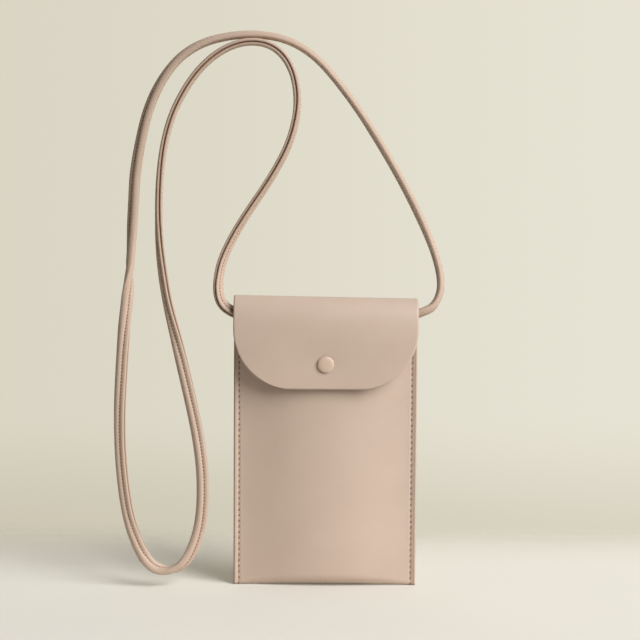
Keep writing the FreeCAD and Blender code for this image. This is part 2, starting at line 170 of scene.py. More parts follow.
# Route of the strap in metres (across, behind the seam, up), from its left exit to its right exit,
# and the way its open edges face: 0 is right of the strap's run, 90 the front, 180 left, 270 the back
STRAP_ROUTE = [
    (-0.052, -0.0042, 0.17116, 132), (-0.06056, -0.0042, 0.17394, 130), (-0.0665, -0.0025, 0.1805, 124),
    (-0.0678, 0.001, 0.192, 117), (-0.0645, 0.006, 0.208, 112), (-0.0522, 0.009, 0.231, 105),
    (-0.035, 0.009, 0.256, 102), (-0.0223, 0.008, 0.28, 100), (-0.0177, 0.007, 0.3045, 92),
    (-0.0219, 0.006, 0.3258, 88), (-0.0335, 0.005, 0.3391, 90), (-0.0515, 0.005, 0.3417, 92),
    (-0.0702, 0.005, 0.3335, 92), (-0.0867, 0.004, 0.3158, 90), (-0.1003, 0.004, 0.288, 91),
    (-0.1056, 0.004, 0.2485, 98), (-0.1036, 0.003, 0.193, 126), (-0.0888, -0.003, 0.1356, 172),
    (-0.0771, -0.009, 0.0855, 181), (-0.076, -0.0115, 0.0487, 184), (-0.0811, -0.0125, 0.0266, 200),
    (-0.091, -0.0125, 0.0113, 238), (-0.1073, -0.0125, 0.0108, 315), (-0.1177, -0.012, 0.0271, 362),
    (-0.1253, -0.011, 0.0522, 382), (-0.1297, -0.007, 0.0983, 386), (-0.1274, -0.001, 0.1525, 374),
    (-0.12475, 0.0026, 0.1818, 336), (-0.12245, 0.0055, 0.2104, 248), (-0.12095, 0.007, 0.2377, 222),
    (-0.1196, 0.008, 0.2645, 216), (-0.11, 0.009, 0.308, 226), (-0.0877, 0.01, 0.3384, 244),
    (-0.049, 0.01, 0.3476, 252), (-0.0148, 0.01, 0.3404, 258), (0.0131, 0.01, 0.3095, 268),
    (0.0443, 0.01, 0.2607, 280), (0.0661, 0.008, 0.217, 281), (0.073, 0.001, 0.1908, 274),
    (0.0685, -0.0025, 0.1776, 260), (0.06056, -0.0042, 0.1735, 246), (0.052, -0.0042, 0.17116, 240),
]

# Strap tails, sewn inside the back under the fold
TAIL_X = 52.0
TAIL_Z = 171.158
TAIL_SLOPE = math.radians(18)
TAIL_FIRST = 13.8
TAIL_ROW = 2.0
TAIL_THICKNESS = 2.6
TAIL_STITCHES = 3
TAIL_PROUD = 0.1  # how far the middles of its stitches stand out of the leather

# Camera, floor and light
CAMERA_TARGET = (-3.756, 0.0, 167.95)
CAMERA_DISTANCE = 1113.26
CAMERA_PITCH = math.radians(4.7)
CAMERA_ROLL = math.radians(0.343)
CAMERA_LENS = 100.0
CAMERA_SENSOR = 36.0
FLOOR_HALF_WIDTH = 2.2  # metres from here on
FLOOR_FRONT = -2.0
FLOOR_BACK = 0.22
FLOOR_FADE = (0.21, 0.1)  # the floor is gone at the first of these depths and whole at the second
FLOOR_POOL = (0.75, 0.34)  # and so it is at these distances from the pouch on the other sides
PAPER_FADE = (0.05, 0.22)  # between these depths its paper turns from the floor's tone to the wall's darker one, painted shade towards the horizon
CARD_START = 0.25
CARD_RADIUS = 0.45
CARD_TOP = 1.6
CARD_ROWS = 24
WALL_SIDES = (-0.19, 0.19)  # sideways slopes of the view at which the wall is darkest and lightest
WALL_FALL = (-0.13, -0.2)  # downward slopes between which painted shade darkens it towards its foot
KEY_PLACE = (3.31, -2.7, 2.68)
KEY_SIZE = 4.0
KEY_POWER = 345.0
TOP_PLACE = (0.1, 0.0, 2.2)
TOP_SIZE = 1.6
TOP_POWER = 5.0
AIM = (-0.02, 0.0, 0.1)
SKY_STRENGTH = 0.1

# Patterns of the materials in millimetres: how far apart their marks are and, where they are pairs, how deep
CLOUDS = 22.0
PORES = (0.7, 0.05)  # they are 0.3 mm apart on the hide, and are drawn wider so that they show
STRETCH = (5.0, 0.12)
NAP = (0.9, 0.2)
LAYERS = (1.2, 0.08)
WAX = (12.0, 0.1)  # its bands lie 0.63 of this apart along a seam, 7.5 mm
HOLE_FIBRES = 0.4
PEEL = (0.8, 0.02)
DRAWN_LINES = (0.5, 0.02)

# Shine of the materials
LEATHER_ROUGHNESS = 0.52
LEATHER_GLOSS = 0.5
STRAP_ROUGHNESS = 0.58
STRAP_GLOSS = 0.35
SHINE_SPREAD = 0.06  # how far the leather's roughness varies either way
NICKEL_ROUGHNESS = 0.3
STEEL_ROUGHNESS = 0.25
BRIGHTER = 0.1  # how much less rough the metal is where it is bright
DULLER = 0.12  # and how much rougher where it is rubbed

# Colours
LEATHER_TONE = "#C6B1A2"
LEATHER_CLOUD = "#BEA898"
# dark tone of the painted shade in seams, the strap's slit and groove, beside cut edges and in needle holes
LEATHER_SHADE_TONE = "#7A5C48"
STRAP_TONE = "#C2AB9A"
STRAP_CLOUD = "#B9A18F"
FLESH_TONE = "#BFA288"
FLESH_FIBRE = "#A98B72"
EDGE_TONE = "#B39780"
THREAD_TONE = "#C9B29F"
THREAD_DARK = "#B0967F"
# tones of the painted shadow in the needle holes
HOLE_SHADOW_TONE = "#7F6957"
STRAP_HOLE_SHADOW_TONE = "#866A57"
CAP_TONE = "#CCB29C"
NICKEL_TONE = "#CFC6B8"
STEEL_TONE = "#BFC0C0"
FLOOR_TONE = "#E6E3DB"
# the floor's far tone, painted shade at the horizon, and the unseen card's own colour
WALL_TONE = "#D6D3C5"
WALL_SHADE = "#DAD5C4"
WALL_LIGHT = "#E7E3D4"
WALL_FOOT_SHADE = "#F0EEEA"
SKY_TONE = "#FFF5E4"

# Sockets of a node that mixes two colours: how much of the second, the first, the second, and the mix
SHARE, FIRST, SECOND, MIXED = 0, 6, 7, 2


def place(across, behind, up):
    """A point in metres from millimetres across the pouch, behind its seams and above the floor."""
    return Vector((across, behind + SEAM_Y, up)) * MM


def linear(code):
    """Linear colour of an sRGB hex value."""
    parts = [int(code[start:start + 2], 16) / 255 for start in (1, 3, 5)]
    return [part / 12.92 if part <= 0.04045 else ((part + 0.055) / 1.055) ** 2.4 for part in parts] + [1]


def smooth(value, start, end):
    """0 before start, 1 after end, with a soft rise between them."""
    share = min(max((value - start) / (end - start), 0), 1)
    return share * share * (3 - 2 * share)


def hill(distance, width):
    """1 at no distance, falling softly to nothing on both sides."""
    return math.exp(-(distance / width) ** 2)


def give(socket, value):
    """Links a socket to another node's output, or sets it to a value."""
    if isinstance(value, bpy.types.NodeSocket):
        socket.id_data.links.new(value, socket)
    else:
        socket.default_value = value


def node(tree, kind, sockets=None, **settings):
    """Adds a node with its settings, and gives its sockets values or other nodes' outputs."""
    made = tree.nodes.new(kind)
    for name, value in settings.items():
        setattr(made, name, value)
    for name, value in (sockets or {}).items():
        give(made.inputs[name], value)
    return made


def new_material(name):
    """A new material, its nodes and its shader."""
    material = bpy.data.materials.new(name)
    material.use_nodes = True
    tree = material.node_tree
    return material, tree, tree.nodes["Principled BSDF"]


def set_shader(shader, **sockets):
    """Gives the shader's sockets values or other nodes' outputs. A space in a socket's name is _ here."""
    for name, value in sockets.items():
        give(shader.inputs[name.replace("_", " ")], value)


# Materials

def smooth_leather(name, tone, cloud, roughness, gloss):
    """Smooth vegetable-tanned leather: faint clouds of dye, a fine closed grain and a soft, dull shine."""
    material, tree, shader = new_material(name)
    spot = node(tree, "ShaderNodeTexCoord").outputs["Object"]
    clouds = node(tree, "ShaderNodeTexNoise", {"Vector": spot, "Scale": 1 / (CLOUDS * MM), "Detail": 3})
    tones = {SHARE: clouds.outputs["Fac"], FIRST: linear(tone), SECOND: linear(cloud)}
    dyed = node(tree, "ShaderNodeMix", tones, data_type="RGBA")
    # painted shade: each point's shade attribute darkens the dye towards the shade tone
    shade = node(tree, "ShaderNodeAttribute", attribute_name="shade")
    tones = {SHARE: shade.outputs["Fac"], FIRST: dyed.outputs[MIXED], SECOND: linear(LEATHER_SHADE_TONE)}
    colour = node(tree, "ShaderNodeMix", tones, data_type="RGBA")
    grain = node(tree, "ShaderNodeTexVoronoi", {"Vector": spot, "Scale": 1 / (PORES[0] * MM)})
    stretch = node(tree, "ShaderNodeTexNoise", {"Vector": spot, "Scale": 1 / (STRETCH[0] * MM), "Detail": 4})
    rise = {"Height": stretch.outputs["Fac"], "Distance": STRETCH[1] * MM, "Strength": 0.5}
    low = node(tree, "ShaderNodeBump", rise)
    rise = {"Height": grain.outputs["Distance"], "Distance": PORES[1] * MM, "Strength": 0.5}
    fine = node(tree, "ShaderNodeBump", {**rise, "Normal": low.outputs["Normal"]})
    spread_of_shine = {"To Min": roughness - SHINE_SPREAD, "To Max": roughness + SHINE_SPREAD}
    shine = node(tree, "ShaderNodeMapRange", {"Value": stretch.outputs["Fac"], **spread_of_shine})
    set_shader(shader, Base_Color=colour.outputs[MIXED], Roughness=shine.outputs["Result"],
               Normal=fine.outputs["Normal"], IOR=1.5, Specular_IOR_Level=gloss)
    return material


def flesh_side():
    """The napped inner side of the leather: short fibres, matt, with a faint sheen."""
    material, tree, shader = new_material("napped_flesh_side")
    spot = node(tree, "ShaderNodeTexCoord").outputs["Object"]
    nap = {"Vector": spot, "Scale": 1 / (NAP[0] * MM), "Detail": 6, "Roughness": 0.7}
    fibres = node(tree, "ShaderNodeTexNoise", nap).outputs["Fac"]
    tones = {SHARE: fibres, FIRST: linear(FLESH_TONE), SECOND: linear(FLESH_FIBRE)}
    colour = node(tree, "ShaderNodeMix", tones, data_type="RGBA")
    raised = node(tree, "ShaderNodeBump", {"Height": fibres, "Distance": NAP[1] * MM, "Strength": 0.7})
    set_shader(shader, Base_Color=colour.outputs[MIXED], Normal=raised.outputs["Normal"], Roughness=0.92,
               Sheen_Weight=0.2, Specular_IOR_Level=0.2)
    return material


def burnished_edge():
    """Cut edge of the leather, rubbed and sealed: darker and smoother, with the layers just showing."""
    material, tree, shader = new_material("burnished_cut_edge")
    spot = node(tree, "ShaderNodeTexCoord").outputs["Object"]
    pressed = {"Vector": spot, "Scale": 1 / (LAYERS[0] * MM), "Detail": 5}
    layers = node(tree, "ShaderNodeTexNoise", pressed).outputs["Fac"]
    tones = {SHARE: layers, FIRST: linear(EDGE_TONE), SECOND: linear(LEATHER_CLOUD)}
    colour = node(tree, "ShaderNodeMix", tones, data_type="RGBA")
    rubbed = node(tree, "ShaderNodeBump", {"Height": layers, "Distance": LAYERS[1] * MM, "Strength": 0.5})
    set_shader(shader, Base_Color=colour.outputs[MIXED], Normal=rubbed.outputs["Normal"], Roughness=0.42)
    return material


def waxed_thread():
    """Waxed polyester thread: slow bands where the wax lies thicker, and a low shine."""
    material, tree, shader = new_material("waxed_thread")
    spot = node(tree, "ShaderNodeTexCoord").outputs["Object"]
    bands = {"Vector": spot, "Scale": 1 / (WAX[0] * MM), "Distortion": 1.5}
    wax = node(tree, "ShaderNodeTexWave", bands, bands_direction="DIAGONAL").outputs["Fac"]
    tones = {SHARE: wax, FIRST: linear(THREAD_TONE), SECOND: linear(THREAD_DARK)}
    colour = node(tree, "ShaderNodeMix", tones, data_type="RGBA")
    coat = node(tree, "ShaderNodeBump", {"Height": wax, "Distance": WAX[1] * MM, "Strength": 0.6})
    set_shader(shader, Base_Color=colour.outputs[MIXED], Normal=coat.outputs["Normal"], Roughness=0.55)
    return material


def needle_shadow(name, tone):
    """Painted shadow inside a needle hole: dark, with a faint noise of raw leather fibre."""
    material, tree, shader = new_material(name)
    spot = node(tree, "ShaderNodeTexCoord").outputs["Object"]
    fibres = node(tree, "ShaderNodeTexNoise", {"Vector": spot, "Scale": 1 / (HOLE_FIBRES * MM)})
    tones = {SHARE: fibres.outputs["Fac"], FIRST: linear(tone), SECOND: linear(LEATHER_SHADE_TONE)}
    colour = node(tree, "ShaderNodeMix", tones, data_type="RGBA")
    set_shader(shader, Base_Color=colour.outputs[MIXED], Roughness=1.0, Specular_IOR_Level=0.1)
    return material


def cap_enamel():
    """Satin baked enamel on the brass cap: an even film with a slight orange peel."""
    material, tree, shader = new_material("satin_cap_enamel")
    spot = node(tree, "ShaderNodeTexCoord").outputs["Object"]
    film = {"Vector": spot, "Scale": 1 / (PEEL[0] * MM), "Detail": 2}
    peel = node(tree, "ShaderNodeTexNoise", film).outputs["Fac"]
    tones = {SHARE: peel, FIRST: linear(CAP_TONE), SECOND: linear(LEATHER_TONE)}
    colour = node(tree, "ShaderNodeMix", tones, data_type="RGBA")
    uneven = node(tree, "ShaderNodeBump", {"Height": peel, "Distance": PEEL[1] * MM, "Strength": 0.4})
    set_shader(shader, Base_Color=colour.outputs[MIXED], Normal=uneven.outputs["Normal"], Roughness=0.38,
               IOR=1.5)
    return material


def plated_metal(name, tone, roughness):
    """Pressed and plated metal: bright, with fine drawing lines and a few rubbed spots."""
    material, tree, shader = new_material(name)
    spot = node(tree, "ShaderNodeTexCoord").outputs["Object"]
    drawn = {"Vector": spot, "Scale": 1 / (DRAWN_LINES[0] * MM), "Detail": 4}
    lines = node(tree, "ShaderNodeTexNoise", drawn).outputs["Fac"]
    spread_of_shine = {"To Min": roughness - BRIGHTER, "To Max": roughness + DULLER}
    rubbed = node(tree, "ShaderNodeMapRange", {"Value": lines, **spread_of_shine})
    mark = node(tree, "ShaderNodeBump", {"Height": lines, "Distance": DRAWN_LINES[1] * MM, "Strength": 0.4})
    set_shader(shader, Base_Color=linear(tone), Metallic=1.0, Roughness=rubbed.outputs["Result"],
               Normal=mark.outputs["Normal"])
    return material


def backdrop_paper():
    """Matt studio paper: pale on the floor, and darker and creamier farther back as painted shade towards the
    horizon, where it gives way to the wall.
    """
    material, tree, shader = new_material("studio_paper")
    spot = node(tree, "ShaderNodeTexCoord").outputs["Object"]
    depth = node(tree, "ShaderNodeSeparateXYZ", {"Vector": spot}).outputs["Y"]
    away = node(tree, "ShaderNodeVectorMath", {0: spot}, operation="LENGTH").outputs["Value"]
    ramps = []
    for value, (start, end) in ((depth, PAPER_FADE), (depth, FLOOR_FADE), (away, FLOOR_POOL)):
        ramp = node(tree, "ShaderNodeMapRange", {"Value": value, "From Min": start, "From Max": end},
                    interpolation_type="SMOOTHSTEP")
        ramps.append(ramp.outputs["Result"])
    far, whole, near = ramps
    tones = {SHARE: far, FIRST: linear(FLOOR_TONE), SECOND: linear(WALL_TONE)}
    colour = node(tree, "ShaderNodeMix", tones, data_type="RGBA")
    solid = node(tree, "ShaderNodeMath", {0: whole, 1: near}, operation="MULTIPLY")
    set_shader(shader, Base_Color=colour.outputs[MIXED], Alpha=solid.outputs[0], Roughness=0.9,
               Specular_IOR_Level=0.15)
    return material


def bounce_card():
    """Matt cream card."""
    material, tree, shader = new_material("studio_card")
    set_shader(shader, Base_Color=linear(WALL_TONE), Roughness=0.9, Specular_IOR_Level=0.15)
    return material


leather = smooth_leather("smooth_leather", LEATHER_TONE, LEATHER_CLOUD, LEATHER_ROUGHNESS, LEATHER_GLOSS)
strap_leather = smooth_leather("smooth_strap_leather", STRAP_TONE, STRAP_CLOUD, STRAP_ROUGHNESS, STRAP_GLOSS)
flesh = flesh_side()
cut_edge = burnished_edge()
thread = waxed_thread()
needle_hole_shadow = needle_shadow("needle_hole_painted_shadow", HOLE_SHADOW_TONE)
strap_hole_shadow = needle_shadow("strap_hole_painted_shadow", STRAP_HOLE_SHADOW_TONE)
enamel = cap_enamel()
nickel = plated_metal("nickel_plated_brass", NICKEL_TONE, NICKEL_ROUGHNESS)
spring_steel = plated_metal("bright_spring_wire", STEEL_TONE, STEEL_ROUGHNESS)


# Shapes

def new_piece(name, points, faces, materials):
    """A smooth piece from its points and faces."""
    mesh = bpy.data.meshes.new(name)
    mesh.from_pydata([tuple(point) for point in points], [], faces)
    for material in materials:
        mesh.materials.append(material)
    mesh.polygons.foreach_set("use_smooth", [True] * len(mesh.polygons))
    piece = bpy.data.objects.new(name, mesh)
    bpy.context.scene.collection.objects.link(piece)
    return piece


def give_shade(piece, values):
    """Stores each point's painted shade, for the leather's material."""
    piece.data.attributes.new("shade", "FLOAT", "POINT").data.foreach_set("value", values)


def tidy_mesh(piece):
    """Joins doubled points and turns every face outwards."""
    work = bmesh.new()
    work.from_mesh(piece.data)
    bmesh.ops.remove_doubles(work, verts=work.verts, dist=JOIN_DISTANCE * MM)
    bmesh.ops.recalc_face_normals(work, faces=work.faces)
    work.to_mesh(piece.data)
    work.free()


def leather_shell(name, rows_of_places):
    """A closed sheet with softened cut edges, from rows of (grain side, flesh side, how dark) places."""
    rows = len(rows_of_places)
    columns = len(rows_of_places[0])
    last_row = rows - 1
    last_column = columns - 1
    points = []
    for own, other in ((0, 1), (1, 0)):
        for r, row in enumerate(rows_of_places):
            for c, sides in enumerate(row):
                cut = r in (0, last_row) or c in (0, last_column)
                points.append(sides[own].lerp(sides[other], EDGE_SOFT if cut else 0))

    def grain(r, c):
        return r * columns + c

    def inner(r, c):
        return rows * columns + r * columns + c

    materials = [leather, flesh, cut_edge]
    faces = []
    kinds = []
    for r in range(last_row):
        for c in range(last_column):
            faces.append((grain(r, c), grain(r + 1, c), grain(r + 1, c + 1), grain(r, c + 1)))
            faces.append((inner(r, c), inner(r, c + 1), inner(r + 1, c + 1), inner(r + 1, c)))
            kinds += [materials.index(leather), materials.index(flesh)]
    start, end = 0, last_row
    for c in range(last_column):
        faces.append((grain(start, c), grain(start, c + 1), inner(start, c + 1), inner(start, c)))
        faces.append((grain(end, c + 1), grain(end, c), inner(end, c), inner(end, c + 1)))
        kinds += [materials.index(cut_edge)] * 2
    left, right = 0, last_column
    for r in range(last_row):
        faces.append((grain(r + 1, left), grain(r, left), inner(r, left), inner(r + 1, left)))
        faces.append((grain(r, right), grain(r + 1, right), inner(r + 1, right), inner(r, right)))
        kinds += [materials.index(cut_edge)] * 2
    piece = new_piece(name, points, faces, materials)
    piece.data.polygons.foreach_set("material_index", kinds)
    shade = [dark for row in rows_of_places for outer, inside, dark in row]
    give_shade(piece, shade + [0.0] * len(shade))
    return piece


def spread(start, end, step):
    """Evenly spaced values from start to end, about a step apart."""
    count = max(1, round(abs(end - start) / step))
    return [start + (end - start) * i / count for i in range(count + 1)]


def column_places():
    """Places across the pouch, close together at the sewn edges."""
    inner = HALF_WIDTH - EDGE_ZONE
    edge = spread(inner, HALF_WIDTH, EDGE_COLUMN)
    middle = spread(-inner, inner, FACE_COLUMN)
    return [-x for x in reversed(edge)] + middle[1:-1] + edge


def needle_heights():
    """Heights of the needle holes in a side seam."""
    count = int((MOUTH_HEIGHT - STITCH_FIRST) / STITCH_PITCH)
    return [STITCH_FIRST + STITCH_PITCH * i for i in range(count + 1)]


def nearest_needle(z):
    """Height of the needle hole nearest to a height."""
    step = round((z - STITCH_FIRST) / STITCH_PITCH)
    return STITCH_FIRST + STITCH_PITCH * max(step, 0)


def seam_dip(x, z):
    """How far the thread pulls the leather in along the side seams, and the painted shade in its channel and
    round each needle hole.
    """
    if z > MOUTH_HEIGHT:
        return 0, 0
    off_line = abs(x) - STITCH_X
    channel = hill(off_line, CHANNEL_WIDTH)
    pull = hill(math.hypot(off_line, z - nearest_needle(z)), NEEDLE_WIDTH)
    return CHANNEL_DEPTH * channel + NEEDLE_DEPTH * pull, CHANNEL_SHADE * channel + NEEDLE_SHADE * pull


def wander(x, z, sheet):
    """Slow unevenness of soft leather."""
    return WAVE * noise.noise(Vector((x / WAVE_LENGTH, sheet * WAVE_APART, z / WAVE_LENGTH)))


def edge_burnish_and_shade(x):
    """How dark a wall is beside its cut edge: burnish with painted shade on the left, and a painted shadow
    line on the right.
    """
    dark, inset, width = EDGE_RIGHT if x > 0 else EDGE_LEFT
    return dark * hill(HALF_WIDTH - abs(x) - inset, width)


def edge_fall(to_edge):
    """How far the rubbed face falls away near a cut edge."""
    return EDGE_FALL * hill(to_edge, EDGE_ROUND)


def flare(x, z):
    """How far forward the leather stands between the stitches and the cut edge."""
    share = max(abs(x) - STITCH_X, 0) / (HALF_WIDTH - STITCH_X)
    return EDGE_FLARE * share * smooth(MOUTH_HEIGHT - z, 0, FLARE_RISE)


def pocket_swell(bulge, x):
    """Bulge of a wall at one place across it, with a soft crease where it meets the seam."""
    away = abs(x)
    fall = away ** 2 if away < CROWN else CROWN * (2 * away - CROWN)
    rise = bulge * (1 - fall / (CROWN * (2 * HALF_POCKET - CROWN)))
    return (rise + math.hypot(rise, SEAM_CREASE)) / 2


def base_swell(z):
    """Share of the bulge at a height: it grows upwards from the bottom fold."""
    return BASE_SHARE + (1 - BASE_SHARE) * math.sin(min(z / BASE_RISE, 1) * math.pi / 2)


def front_depth(x, z):
    """How far the front's outer face lies before the seams' plane."""
    return LEATHER + pocket_swell(FRONT_BULGE * base_swell(z), x)


def back_depth(x, z):
    """How far the back's outer face lies behind the seams' plane."""
    fade = min(max((z - BACK_FULL_HEIGHT) / (BACK_FLAT_HEIGHT - BACK_FULL_HEIGHT), 0), 1)
    fullness = math.cos(fade * math.pi / 2) ** 2
    return LEATHER + pocket_swell(BACK_BULGE * base_swell(z), x) * fullness


def wall_point(side, depth_at, x, top, share, turn):
    """One place on a wall: its outer side, its inner side and how dark it is.

    The share runs up the wall from its bottom fold, and the turn is the angle round that fold.
    """
    middle = 1 - (x / HALF_WIDTH) ** 2
    lift = FOOT_LIFT * middle
    tall = LEATHER + FOOT_ROUND * middle
    start = lift + tall
    z = start + (top - start) * share
    inner_z = z
    loose = middle * smooth(share, 0, WAVE_START) * smooth(top - z, 0, WAVE_STOP)
    depth = depth_at(x, z) + wander(x, z, side) * loose
    dip, dark = seam_dip(x, z)
    dip += edge_fall(HALF_WIDTH - abs(x))
    if turn:
        risen = 1 - math.sin(turn)
        z = lift + tall * risen
        inner_z = lift + LEATHER + (tall - LEATHER + FOOT_SLACK) * risen
    forward = flare(x, z)
    thin = max(depth - LEATHER, POCKET_GAP)
    outer = place(x, side * (depth - dip) * math.cos(turn) - forward, z)
    inner = place(x, side * thin * math.cos(turn) - forward, inner_z)
    return outer, inner, min(dark + edge_burnish_and_shade(x), 1)


def wall_rows(side, depth_at, top):
    """Rows of a wall from its bottom fold up to its top."""
    steps = [(0, math.pi / 2 * i / FOOT_ROWS) for i in range(FOOT_ROWS, 0, -1)]
    steps += [(share, 0) for share in spread(0, 1, ROW_STEP / top)]
    columns = column_places()
    return [[wall_point(side, depth_at, x, top, share, turn) for x in columns] for share, turn in steps]


def through(before, start, end, after, share):
    """A point on a soft curve from start to end, given the points before and after them."""
    spots = [Vector(spot) for spot in (before, start, end, after)]
    lean_in = (spots[2] - spots[0]) / 2
    lean_out = (spots[3] - spots[1]) / 2
    chord = spots[2] - spots[1]
    bend = 3 * chord - 2 * lean_in - lean_out
    curl = lean_in + lean_out - 2 * chord
    return spots[1] + lean_in * share + bend * share ** 2 + curl * share ** 3


def fold_line():
    """Close points along the outer face of the fold and the flap."""
    line = []
    for spots in zip(FOLD_LINE, FOLD_LINE[1:], FOLD_LINE[2:], FOLD_LINE[3:]):
        line += [through(*spots, i / FOLD_STEPS) for i in range(FOLD_STEPS)]
    return line + [Vector(FOLD_LINE[-2])]


def flap_half_width(z):
    """Half of the flap's width at a height, drawn in round its two large corners."""
    into = max(FLAP_BOTTOM + FLAP_CORNER - z, 0)
    return HALF_WIDTH - FLAP_CORNER + math.sqrt(max(FLAP_CORNER ** 2 - into ** 2, 0))


def fold_levels():
    """Places down the fold and the flap: the outer face, the way out of it, and half of the width there."""
    line = fold_line()
    corner_top = FLAP_BOTTOM + FLAP_CORNER
    levels = []
    for before, here, after in zip(line, line[1:], line[2:]):
        run = (after - before).normalized()
        if run.y > 0 or here.y > corner_top:
            levels.append((here, Vector((run.y, -run.x)), HALF_WIDTH))
    for i in range(1, CORNER_ROWS + 1):
        z = corner_top - FLAP_CORNER * math.sin(math.pi / 2 * i / CORNER_ROWS)
        below = next(j for j, spot in enumerate(line) if spot.y <= z + SAME_HEIGHT and spot.x < BEND_END)
        first, second = line[below - 1], line[below]
        here = first.lerp(second, (first.y - z) / (first.y - second.y))
        run = (second - first).normalized()
        levels.append((here, Vector((run.y, -run.x)), flap_half_width(z)))
    return levels


def flap_point(spot, out, half, column):
    """One place on the fold or the flap: its outer side, its inner side and how dark it is."""
    on_flap = spot.x < BEND_END
    hang = smooth(FOLD_START - spot.y, 0, HANG_LENGTH) if on_flap else 0
    x = column * half / HALF_WIDTH
    from_snap = math.hypot(x, spot.y - SNAP_HEIGHT)
    free = SNAP_DRAW * (1 - hill(from_snap, SNAP_DRAW_WIDTH))
    uneven = wander(x, spot.y, FLAP) * smooth(from_snap, *SNAP_CALM)
    dent = DIMPLE * hill(from_snap, DIMPLE_WIDTH)
    stand = (free + uneven - dent) * hang
    crown = (FOLD_CROWN + (FLAP_CROWN - FOLD_CROWN) * hang) * (x / HALF_WIDTH) ** 2
    back_off = crown * smooth(-spot.x, 0, -BEND_END)
    tilt = FOLD_TILT * smooth(spot.y, FOLD_START, POUCH_TOP) * -x / HALF_WIDTH
    to_edge = half - abs(x)
    if on_flap:
        to_edge = min(to_edge, spot.y - FLAP_BOTTOM)
    face = spot + out * (stand - edge_fall(to_edge))
    back = spot + out * (stand - LEATHER)
    outer = place(x, face.x + back_off, face.y + tilt)
    inner = place(x, back.x + back_off, back.y + tilt)
    return outer, inner, 0


def flap_rows():
    """Rows over the top fold and down the flap."""
    columns = column_places()
    return [[flap_point(*level, column) for column in columns] for level in fold_levels()]


def make_front():
    """Front panel with the front half of the bottom fold."""
    rows = wall_rows(FRONT, front_depth, MOUTH_HEIGHT)
    return leather_shell("front_leather", rows[::-1])


def make_back_and_flap():
    """Back panel, top fold and flap, which are one strip of leather."""
    rows = wall_rows(BACK, back_depth, FOLD_START)
    return leather_shell("back_and_flap_leather", rows + flap_rows())


def turned(name, profile, material):
    """A piece turned round the snap's axis, from (out from the flap's face, radius) corners."""
    points = []
    faces = []
    count = len(profile)
    for i in range(CAP_TURNS):
        angle = 2 * math.pi * i / CAP_TURNS
        for out, radius in profile:
            up = SNAP_HEIGHT + radius * math.sin(angle)
            points.append(place(radius * math.cos(angle), -FLAP_FACE - out, up))
        ahead = (i + 1) % CAP_TURNS
        for j in range(count - 1):
            faces.append((i * count + j, i * count + j + 1, ahead * count + j + 1, ahead * count + j))
    piece = new_piece(name, points, faces, [material])
    tidy_mesh(piece)
    return piece


def make_cap():
    """Domed cap with a rolled rim, its post through the flap and the post's spread end."""
    tip = -LEATHER - POST_REACH
    profile = [(tip + out, radius) for out, radius in POST_END]
    profile.append((CAP_SEAT, POST_RADIUS))
    profile += [(out, CAP_RADIUS - inset) for out, inset in CAP_RIM]
    for i in range(1, CAP_ROWS + 1):
        turn = math.pi / 2 * i / CAP_ROWS
        out = CAP_SHOULDER + (CAP_STANDS - CAP_SHOULDER) * math.sin(turn) ** CAP_RISE
        profile.append((out, CAP_RADIUS * math.cos(turn) ** CAP_ROUND))
    return turned("snap_cap_enamelled", profile, enamel)


# Stitches

def stitch_tree():
    """Sews one rounded stitch at every given point, turned as the point's own turn says."""
    tree = bpy.data.node_groups.new("sewn_stitches", "GeometryNodeTree")
    sockets = tree.interface
    sockets.new_socket("Places", in_out="INPUT", socket_type="NodeSocketGeometry")
    for name in ("Stitch length", "Thread width", "Thread height"):
        sockets.new_socket(name, in_out="INPUT", socket_type="NodeSocketFloat")
    sockets.new_socket("Thread", in_out="INPUT", socket_type="NodeSocketMaterial")
    sockets.new_socket("Stitches", in_out="OUTPUT", socket_type="NodeSocketGeometry")
    given = node(tree, "NodeGroupInput").outputs
    sizes = {"X": given["Stitch length"], "Y": given["Thread width"], "Z": given["Thread height"]}
    size = node(tree, "ShaderNodeCombineXYZ", sizes).outputs["Vector"]
    round_bead = {"Segments": STITCH_SIDES, "Rings": STITCH_RINGS, "Radius": 1 / 2}
    bead = node(tree, "GeometryNodeMeshUVSphere", round_bead).outputs["Mesh"]
    lying = {"Geometry": bead, "Rotation": (0, math.pi / 2, 0)}
    laid = node(tree, "GeometryNodeTransform", lying).outputs["Geometry"]
    sized = node(tree, "GeometryNodeTransform", {"Geometry": laid, "Scale": size}).outputs["Geometry"]
    turn = node(tree, "GeometryNodeInputNamedAttribute", {"Name": "turn"}, data_type="FLOAT_VECTOR")
    facing = node(tree, "FunctionNodeEulerToRotation", {"Euler": turn.outputs["Attribute"]})
    smallest, largest = STITCH_UNEVEN
    limits = {"Min": (smallest,) * 3, "Max": (largest,) * 3, "Seed": STITCH_SEED}
    uneven = node(tree, "FunctionNodeRandomValue", limits, data_type="FLOAT_VECTOR")
    sewn = node(tree, "GeometryNodeInstanceOnPoints", {
        "Points": given["Places"], "Instance": sized, "Rotation": facing.outputs["Rotation"],
        "Scale": uneven.outputs["Value"]})
    real = node(tree, "GeometryNodeRealizeInstances", {"Geometry": sewn.outputs["Instances"]})
    soft = node(tree, "GeometryNodeSetShadeSmooth", {"Geometry": real.outputs["Geometry"]})
    dye = {"Geometry": soft.outputs["Geometry"], "Material": given["Thread"]}
    coloured = node(tree, "GeometryNodeSetMaterial", dye)
    node(tree, "NodeGroupOutput", {"Stitches": coloured.outputs["Geometry"]})
    return tree


stitches = stitch_tree()


